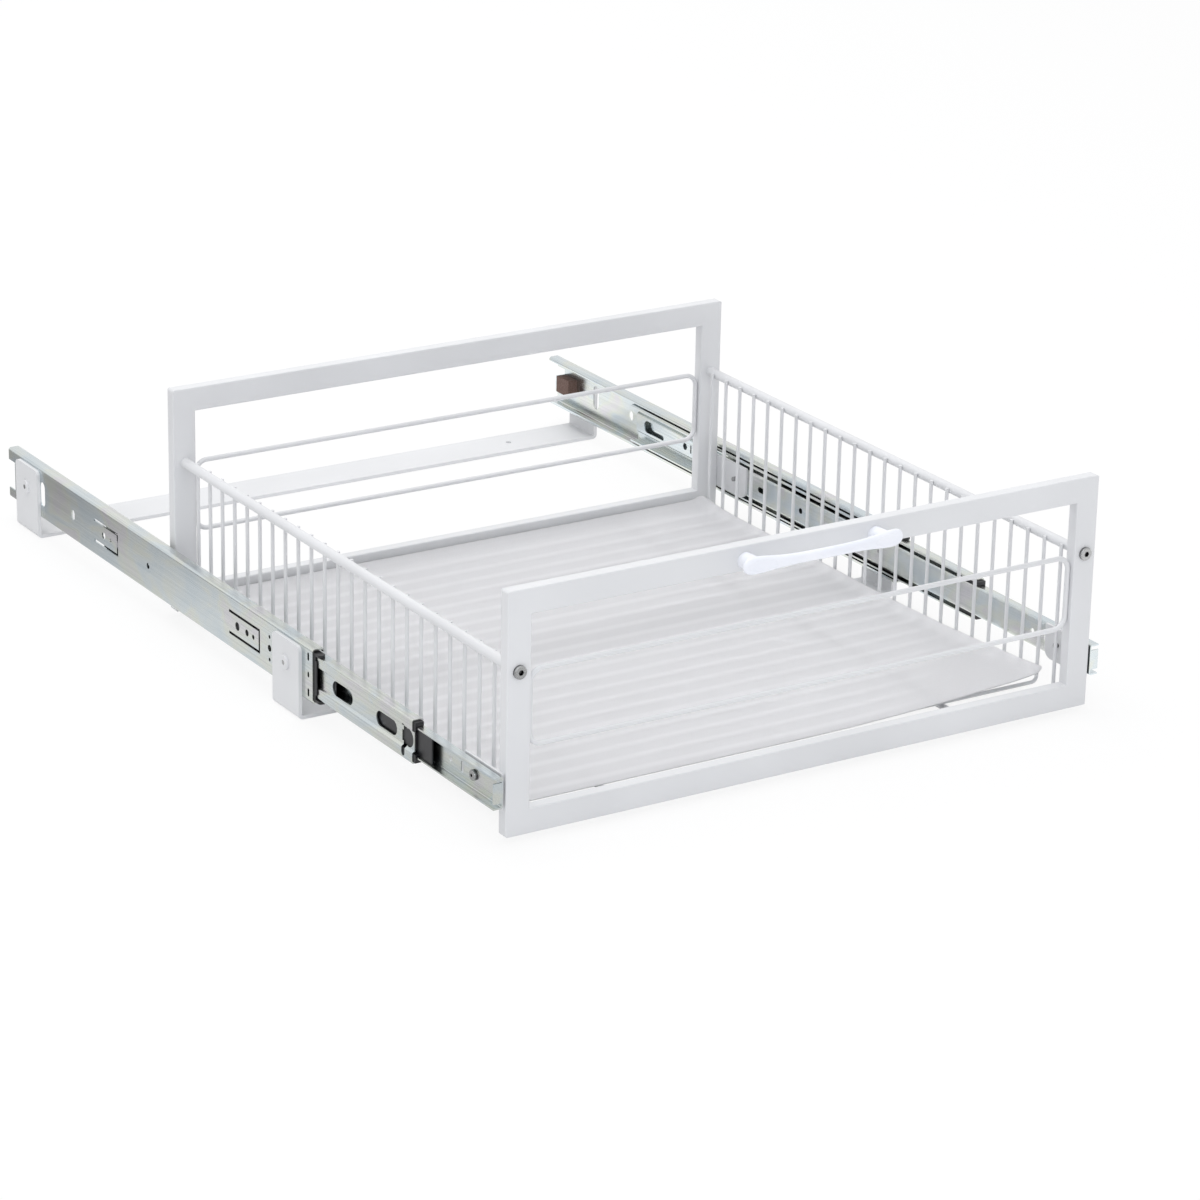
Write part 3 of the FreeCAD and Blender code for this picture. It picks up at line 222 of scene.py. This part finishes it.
def blackAcetal():
    material = newMaterial("mouldedBlackAcetal")
    look = acetalLook
    skin = addNode(material, "ShaderNodeTexNoise", {"Scale": 1.0, "Detail": 2.0},
                   {"Vector": patternSpace(material, look["grainMm"])})
    tint = addNode(material, "ShaderNodeValToRGB", {"stops": look["tint"]}, {"Fac": skin.outputs["Fac"]})
    bump = addNode(material, "ShaderNodeBump",
                   {"Strength": look["grainStrength"], "Distance": look["grainDepth"]},
                   {"Height": skin.outputs["Fac"]})
    shader = addNode(material, "ShaderNodeBsdfPrincipled", {"Roughness": look["roughness"]},
                     {"Base Color": tint.outputs[0], "Normal": bump.outputs[0]})
    return finishMaterial(material, shader)


# moulded brown rubber: dull and slightly dusty
rubberLook = {"tint": [(0.4, "#5E463C"), (0.7, "#75605A")], "roughness": 0.75, "grainMm": (1.2, 1.2, 1.2)}


def brownRubber():
    material = newMaterial("mouldedBrownRubber")
    look = rubberLook
    skin = addNode(material, "ShaderNodeTexNoise", {"Scale": 1.0, "Detail": 3.0},
                   {"Vector": patternSpace(material, look["grainMm"])})
    tint = addNode(material, "ShaderNodeValToRGB", {"stops": look["tint"]}, {"Fac": skin.outputs["Fac"]})
    shader = addNode(material, "ShaderNodeBsdfPrincipled", {"Roughness": look["roughness"]},
                     {"Base Color": tint.outputs[0]})
    return finishMaterial(material, shader)


# moulded white ABS: glossy and faintly blue
handleLook = {"tint": [(0.3, "#EBEEF6"), (0.7, "#F1F3F9")], "roughness": 0.22, "cloudMm": (25, 25, 25)}


def glossAbs():
    material = newMaterial("glossWhiteAbs")
    look = handleLook
    cloud = addNode(material, "ShaderNodeTexNoise", {"Scale": 1.0, "Detail": 1.0},
                    {"Vector": patternSpace(material, look["cloudMm"])})
    tint = addNode(material, "ShaderNodeValToRGB", {"stops": look["tint"]}, {"Fac": cloud.outputs["Fac"]})
    shader = addNode(material, "ShaderNodeBsdfPrincipled", {"Roughness": look["roughness"]},
                     {"Base Color": tint.outputs[0]})
    return finishMaterial(material, shader)


# liner mat: a thin sheet on the floor wires, a little larger than its solid, its sides riding up the wires'
# bends, its front right corner curling up along a long slope and its rear edge lifting a little
matShape = {"sheet": 0.0012, "pastSides": 0.0026, "pastFront": 0.008, "corner": 0.006, "cornerSteps": 5,
            "cell": 0.0125, "sideCuts": (0.003, 0.006, 0.0095, 0.0135), "lifts": 24,
            "sideRun": 0.014, "sideRise": 0.004, "cornerRun": 0.17, "cornerRise": 0.0105,
            "rearRun": 0.05, "rearRise": 0.004}

matLow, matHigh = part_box("liner_mat")
matHalf = matHigh.x + matShape["pastSides"]
matFront = matLow.y - matShape["pastFront"]
matRear = matHigh.y
matMiddle = matLow.z + matShape["sheet"] / 2


# frosted polypropylene sheet: milky, with painted light in soft paler bands where it rests on a floor wire,
# standing in for the wires showing through
matLook = {"tint": [(0.3, "#E7E7E9"), (0.7, "#ECECEE")], "roughness": 0.46, "through": 0.5, "ior": 1.45,
           "grainMm": (1.0, 1.0, 1.0), "grainDepth": 0.00003, "grainStrength": 0.15,
           "wireShowThroughLight": "#F3F3F5", "wires": 24, "wireDiameter": 0.003, "restLift": 0.0007, "clearLift": 0.0035}


def paintedWireShowThrough(material, look):
    # share of the painted show-through light: 1 on a wire and 0 between two wires, and 0 all over where the
    # sheet is lifted clear of them
    wiresLow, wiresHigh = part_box("u_wires")
    firstWire = wiresLow.y + look["wireDiameter"] / 2
    lastWire = wiresHigh.y - look["wireDiameter"] / 2
    turnsPerMetre = (look["wires"] - 1) / (lastWire - firstWire)
    place = addNode(material, "ShaderNodeTexCoord", {}, {})
    spot = addNode(material, "ShaderNodeSeparateXYZ", {}, {"Vector": place.outputs["Object"]})
    fullTurn = 2 * math.pi
    angle = addNode(material, "ShaderNodeMath",
                    {"operation": "MULTIPLY_ADD", 1: fullTurn * turnsPerMetre,
                     2: -fullTurn * turnsPerMetre * firstWire}, {0: spot.outputs["Y"]})
    ridge = addNode(material, "ShaderNodeMath", {"operation": "COSINE"}, {0: angle.outputs[0]})
    band = addNode(material, "ShaderNodeMapRange", {}, {"Value": ridge.outputs[0]})
    rests = addNode(material, "ShaderNodeMapRange",
                    {"From Min": matMiddle + look["clearLift"], "From Max": matMiddle + look["restLift"]},
                    {"Value": spot.outputs["Z"]})
    share = addNode(material, "ShaderNodeMath", {"operation": "MULTIPLY"},
                    {0: band.outputs[0], 1: rests.outputs[0]})
    return share.outputs[0]


def frostedSheet():
    material = newMaterial("frostedPolypropylene")
    look = matLook
    skin = addNode(material, "ShaderNodeTexNoise", {"Scale": 1.0, "Detail": 2.0},
                   {"Vector": patternSpace(material, look["grainMm"])})
    bump = addNode(material, "ShaderNodeBump",
                   {"Strength": look["grainStrength"], "Distance": look["grainDepth"]},
                   {"Height": skin.outputs["Fac"]})
    milk = addNode(material, "ShaderNodeValToRGB", {"stops": look["tint"]}, {"Fac": skin.outputs["Fac"]})
    # painted light: the sheet is made paler over each floor wire, as if the wire showed through
    tint = addNode(material, "ShaderNodeMix",
                   {"data_type": "RGBA", mixColourB: linearColour(look["wireShowThroughLight"])},
                   {mixShare: paintedWireShowThrough(material, look), mixColourA: milk.outputs[0]})
    shader = addNode(material, "ShaderNodeBsdfPrincipled",
                     {"Roughness": look["roughness"], "Transmission Weight": look["through"],
                      "IOR": look["ior"]},
                     {"Base Color": tint.outputs[mixedColour], "Normal": bump.outputs[0]})
    return finishMaterial(material, shader)


finishes = {
    "white_paint": powderCoat(),
    "zinc_steel": zincPlate(),
    "black_plastic": blackAcetal(),
    "stainless": stainlessSteel(),
    "ball_steel": bearingSteel(),
    "brown_rubber": brownRubber(),
    "mat_plastic": frostedSheet(),
    "handle_plastic": glossAbs(),
}
for part in frame["record"]["subparts"]:
    piece = nodes[part["node"]]
    piece.data.materials.clear()
    piece.data.materials.append(finishes[part["material_slot"]])
print("finishes set:", len(finishes))


def selectVertices(piece, wanted):
    bpy.ops.mesh.select_all(action="DESELECT")
    bpy.ops.object.mode_set(mode="OBJECT")
    for vertex in piece.data.vertices:
        vertex.select = wanted(vertex.co)
    bpy.ops.object.mode_set(mode="EDIT")


def liftEdge(piece, distance, run, rise):
    # raises the sheet in small steps, each one nearer to the edge, where distance is zero
    step = run / matShape["lifts"]
    for number in range(matShape["lifts"]):
        low = number * step
        high = (number + 1) * step
        selectVertices(piece, lambda place: distance(place) < run - (low + high) / 2)
        bpy.ops.transform.translate(value=(0, 0, rise * (high ** 2 - low ** 2) / run ** 2))


def evenCuts(start, end):
    cells = round((end - start) / matShape["cell"])
    return [start + (end - start) * number / cells for number in range(1, cells)]


def fromSide(place):
    return matHalf - abs(place.x)


def fromFrontRightCorner(place):
    return (matHalf - place.x + place.y - matFront) / math.sqrt(2)


def fromRear(place):
    return matRear - place.y


bpy.ops.object.select_all(action="DESELECT")
bpy.ops.mesh.primitive_plane_add(size=1, location=(0, (matFront + matRear) / 2, matMiddle))
linerSheet = bpy.context.object
linerSheet.name = "linerSheet"
linerSheet.scale = (2 * matHalf, matRear - matFront, 1)
bpy.ops.object.transform_apply(location=True, rotation=False, scale=True)
bpy.ops.object.mode_set(mode="EDIT")
bpy.ops.mesh.select_mode(type="VERT")
bpy.ops.mesh.select_all(action="SELECT")
bpy.ops.mesh.bevel(affect="VERTICES", offset=matShape["corner"], segments=matShape["cornerSteps"])

# cuts across the sheet in both directions, closer together near its sides
nearSide = matHalf - matShape["sideCuts"][-1]
sideways = evenCuts(-nearSide, nearSide)
sideways += [inset - matHalf for inset in matShape["sideCuts"]]
sideways += [matHalf - inset for inset in matShape["sideCuts"]]
for axis, places in ((0, sideways), (1, evenCuts(matFront, matRear))):
    for place in places:
        point = [0, 0, matMiddle]
        normal = [0, 0, 0]
        point[axis] = place
        normal[axis] = 1
        bpy.ops.mesh.select_all(action="SELECT")
        bpy.ops.mesh.bisect(plane_co=point, plane_no=normal)

liftEdge(linerSheet, fromSide, matShape["sideRun"], matShape["sideRise"])
liftEdge(linerSheet, fromFrontRightCorner, matShape["cornerRun"], matShape["cornerRise"])
liftEdge(linerSheet, fromRear, matShape["rearRun"], matShape["rearRise"])
bpy.ops.mesh.select_all(action="SELECT")
bpy.ops.mesh.normals_make_consistent(inside=False)
bpy.ops.object.mode_set(mode="OBJECT")
for kind, settings in (("SOLIDIFY", {"thickness": matShape["sheet"], "offset": 0.0}),
                       ("SUBSURF", {"levels": 1, "render_levels": 1})):
    modifier = linerSheet.modifiers.new(kind.lower(), kind)
    for name, value in settings.items():
        setattr(modifier, name, value)
    bpy.ops.object.modifier_apply(modifier=modifier.name)
bpy.ops.object.shade_smooth()
linerSheet.data.materials.append(finishes["mat_plastic"])
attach(linerSheet, "basket")
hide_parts("liner_mat")
print("liner mat modelled:", len(linerSheet.data.polygons), "faces")


# floor: white to the camera but for a faint shadow; seen in the slides it fades towards the left, the back
# left and the near left, as past the edges of a white sweep
floorLook = {"size": 30.0, "colour": "#F4F4F4", "glow": "#FFFFFF", "shadowShare": 0.16}
mirrorFades = {
    "left": {"along": (1.0, 0.0, 0.0), "start": -0.3, "end": 0.15,
             "glowAtStart": 0.92, "glowAtEnd": 1.35},
    "backLeft": {"along": (-0.707, 0.707, 0.0), "start": 0.2, "end": 0.46,
                 "glowAtStart": 1.0, "glowAtEnd": 0.34},
    "nearLeft": {"along": (0.707, 0.707, 0.0), "start": -0.52, "end": -0.33,
                 "glowAtStart": 0.78, "glowAtEnd": 1.0},
}


def mirroredGlow(material):
    # product of the fades, each one a ramp along its own direction over the floor
    spot = addNode(material, "ShaderNodeTexCoord", {}, {})
    fades = []
    for fade in mirrorFades.values():
        reach = addNode(material, "ShaderNodeVectorMath", {"operation": "DOT_PRODUCT", 1: fade["along"]},
                        {0: spot.outputs["Object"]})
        glow = addNode(material, "ShaderNodeMapRange",
                       {"From Min": fade["start"], "From Max": fade["end"],
                        "To Min": fade["glowAtStart"], "To Max": fade["glowAtEnd"]},
                       {"Value": reach.outputs["Value"]})
        fades.append(glow.outputs[0])
    together = fades[0]
    for glow in fades[1:]:
        product = addNode(material, "ShaderNodeMath", {"operation": "MULTIPLY"}, {0: together, 1: glow})
        together = product.outputs[0]
    return together


def paleFloor():
    material = newMaterial("paleFloor")
    paint = addNode(material, "ShaderNodeBsdfDiffuse", {"Color": linearColour(floorLook["colour"])}, {})
    strength = addNode(material, "ShaderNodeMix", {"data_type": "FLOAT", mixFloatA: 1.0},
                       {mixShare: seenBy(material, "Is Glossy Ray"), mixFloatB: mirroredGlow(material)})
    glow = addNode(material, "ShaderNodeEmission", {"Color": linearColour(floorLook["glow"])},
                   {"Strength": strength.outputs[0]})
    share = addNode(material, "ShaderNodeMath", {"operation": "MULTIPLY", 1: 1 - floorLook["shadowShare"]},
                    {0: seenBy(material, "Is Camera Ray", "Is Glossy Ray")})
    shader = addNode(material, "ShaderNodeMixShader", {},
                     {0: share.outputs[0], 1: paint.outputs[0], 2: glow.outputs[0]})
    return finishMaterial(material, shader)


bpy.ops.object.select_all(action="DESELECT")
bpy.ops.mesh.primitive_plane_add(size=floorLook["size"], location=(0, 0, 0))
floor = bpy.context.object
floor.name = "studioFloor"
floor.data.materials.append(paleFloor())


# sky: an even pale light, and plain white where it is seen, mirrored or looked at through the mat
skyLook = {"light": "#FBFBFC", "lightStrength": 0.79, "seen": "#FFFFFF", "seenStrength": 1.0}

world = bpy.data.worlds.new("studioSky")
bpy.context.scene.world = world
world.use_nodes = True
world.node_tree.nodes.clear()
skyLight = addNode(world, "ShaderNodeBackground",
                   {"Color": linearColour(skyLook["light"]), "Strength": skyLook["lightStrength"]}, {})
skySeen = addNode(world, "ShaderNodeBackground",
                  {"Color": linearColour(skyLook["seen"]), "Strength": skyLook["seenStrength"]}, {})
skyMix = addNode(world, "ShaderNodeMixShader", {},
                 {0: seenBy(world, "Is Camera Ray", "Is Transmission Ray", "Is Glossy Ray"),
                  1: skyLight.outputs[0], 2: skySeen.outputs[0]})
addNode(world, "ShaderNodeOutputWorld", {}, {"Surface": skyMix.outputs[0]})


# square lamps; mirrored says whether a lamp shows in shiny surfaces
lamps = {
    "overheadPanel": {"size": 2.4, "watts": 31, "place": (-0.3, 0.2, 2.6), "target": (0, -0.2, 0),
                      "colour": "#FFFFFF", "mirrored": True},
    "rearPanel": {"size": 1.8, "watts": 8, "place": (0.9, 2.3, 1.5), "target": (0, -0.2, 0.05),
                  "colour": "#FFFFFF", "mirrored": False},
    "frontPanel": {"size": 1.8, "watts": 12.5, "place": (-1.2, -2.6, 1.4), "target": (0, -0.3, 0.05),
                   "colour": "#F2F7FF", "mirrored": True},
}
for name, lamp in lamps.items():
    bpy.ops.object.light_add(type="AREA", location=lamp["place"])
    panel = bpy.context.object
    panel.name = name
    panel.data.energy = lamp["watts"]
    panel.data.color = linearColour(lamp["colour"])[:3]
    panel.data.shape = "SQUARE"
    panel.data.size = lamp["size"]
    panel.visible_glossy = lamp["mirrored"]
    aim = Vector(lamp["target"]) - Vector(lamp["place"])
    panel.rotation_euler = aim.to_track_quat("-Z", "Y").to_euler()
print("floor and lights placed")


# camera at the photograph's viewing place; its angles are in degrees, its lens and sensor in millimetres
viewpoint = {"place": (-1.73894, -2.98332, 1.26685), "yaw": -32.39, "pitch": -20.66, "roll": 1.19,
             "lens": 129.70, "sensor": 36, "reach": 100}

yaw, pitch, roll = (math.radians(viewpoint[key]) for key in ("yaw", "pitch", "roll"))
ahead = Vector((-math.sin(yaw) * math.cos(pitch), math.cos(yaw) * math.cos(pitch), math.sin(pitch)))
level = Vector((math.cos(yaw), math.sin(yaw), 0))
upright = level.cross(ahead)
right = level * math.cos(roll) + upright * math.sin(roll)
up = upright * math.cos(roll) - level * math.sin(roll)
bpy.ops.object.camera_add()
camera = bpy.context.object
camera.name = "photoCamera"
camera.data.lens = viewpoint["lens"]
camera.data.sensor_width = viewpoint["sensor"]
camera.data.clip_end = viewpoint["reach"]
turn = Matrix((right, up, -ahead)).transposed()
camera.matrix_world = Matrix.Translation(viewpoint["place"]) @ turn.to_4x4()
bpy.context.scene.camera = camera
bpy.context.scene.view_settings.view_transform = "Standard"
print("camera placed")
